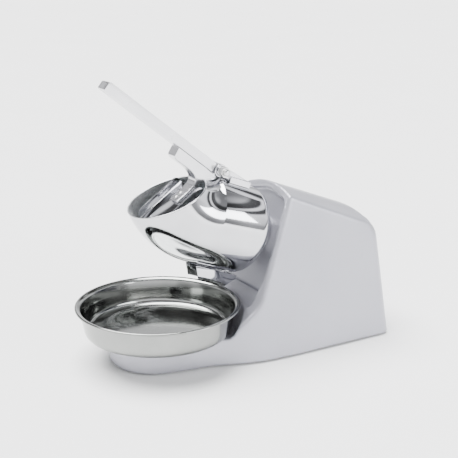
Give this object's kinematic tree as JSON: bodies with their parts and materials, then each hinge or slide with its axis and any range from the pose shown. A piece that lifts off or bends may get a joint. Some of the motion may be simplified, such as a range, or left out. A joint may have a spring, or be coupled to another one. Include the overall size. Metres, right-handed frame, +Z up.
{
  "type": "shaved ice machine",
  "caption": "Electric ice shaver: leaning cast housing, tilted curved steel hopper with a hinged press lever, blade disc, chute and a removable round bowl.",
  "frame": {"origin": "on the ground plane under the middle of the machine's bounding box, feet on z = 0", "axes": "+Z up, +Y towards the rear (motor housing), -Y towards the bowl and the user, +X across the machine; the lever turns about X"},
  "size_m": [0.2, 0.3932, 0.341],
  "materials": {
    "silver_paint": "satin silver-grey metallic paint on cast aluminium",
    "polished_steel": "mirror-polished stainless steel",
    "polished_aluminium": "polished cast aluminium",
    "plated_steel": "zinc-plated steel",
    "machined_steel": "machined steel",
    "lamination_steel": "varnished steel laminations",
    "copper": "enamelled copper winding",
    "brass": "plain brass",
    "black_rubber": "matt black rubber",
    "black_plastic": "fine-textured black plastic",
    "white_plastic": "white moulded plastic",
    "red_plastic": "gloss red plastic",
    "blue_lead": "blue lead insulation"
  },
  "bodies": {
    "machine": {"body_casting": "silver_paint", "base_plate": "plated_steel", "base_plate_screw_1": "plated_steel", "base_plate_screw_2": "plated_steel", "base_plate_screw_3": "plated_steel", "base_plate_screw_4": "plated_steel", "foot_front_left": "black_rubber", "foot_front_right": "black_rubber", "foot_rear_left": "black_rubber", "foot_rear_right": "black_rubber", "hopper": "polished_steel", "hopper_collar": "polished_aluminium", "hopper_screw_1": "plated_steel", "hopper_screw_2": "plated_steel", "hopper_screw_3": "plated_steel", "outlet_chute": "polished_steel", "hinge_bracket": "polished_aluminium", "bracket_screw_1": "plated_steel", "bracket_screw_2": "plated_steel", "pivot_bolt": "plated_steel", "pivot_nut": "plated_steel", "pivot_washer_left": "plated_steel", "pivot_washer_right": "plated_steel", "motor_front_cap": "polished_aluminium", "stator_stack": "lamination_steel", "winding_front": "copper", "winding_rear": "copper", "motor_rear_cap": "polished_aluminium", "motor_tie_screw_1": "plated_steel", "motor_tie_screw_2": "plated_steel", "front_bearing": "machined_steel", "rear_bearing": "machined_steel", "shaft_seal": "black_rubber", "capacitor": "white_plastic", "capacitor_clip": "plated_steel", "terminal_block": "white_plastic", "switch_frame": "black_plastic", "power_inlet": "black_plastic", "motor_lead": "blue_lead"},
    "lever": {"lever_arm": "polished_aluminium", "lever_bush": "brass", "handle_bar": "polished_aluminium", "handle_screw_1": "plated_steel", "handle_screw_2": "plated_steel", "pusher_plate": "polished_steel", "pusher_screw_1": "plated_steel", "pusher_screw_2": "plated_steel"},
    "spindle": {"motor_shaft": "machined_steel", "rotor": "lamination_steel", "cooling_fan": "white_plastic", "blade_disc": "machined_steel", "blade_1": "plated_steel", "blade_2": "plated_steel", "blade_screw_1": "plated_steel", "blade_screw_2": "plated_steel", "blade_screw_3": "plated_steel", "blade_screw_4": "plated_steel", "disc_nut": "plated_steel"},
    "rocker": {"power_rocker": "red_plastic"},
    "bowl": {"ice_bowl": "polished_steel"}
  },
  "joints": [
    {"name": "lever_pivot", "type": "hinge", "parent": "machine", "child": "lever", "pos_m": [0, -0.0145, 0.226], "axis": [1, 0, 0], "range_deg": [-50, 52]},
    {"name": "spindle_spin", "type": "hinge", "parent": "machine", "child": "spindle", "pos_m": [0, -0.0369, 0.1677], "axis": [0, 0.9336, -0.3584], "continuous": true},
    {"name": "power_switch_rocker", "type": "hinge", "parent": "machine", "child": "rocker", "pos_m": [0.032, 0.19027, 0.06428], "axis": [1, 0, 0], "range_deg": [-14, 0]},
    {"name": "bowl_slide_out", "type": "slide", "parent": "machine", "child": "bowl", "axis": [0, -1, 0], "range_m": [0, 0.22]}
  ]
}
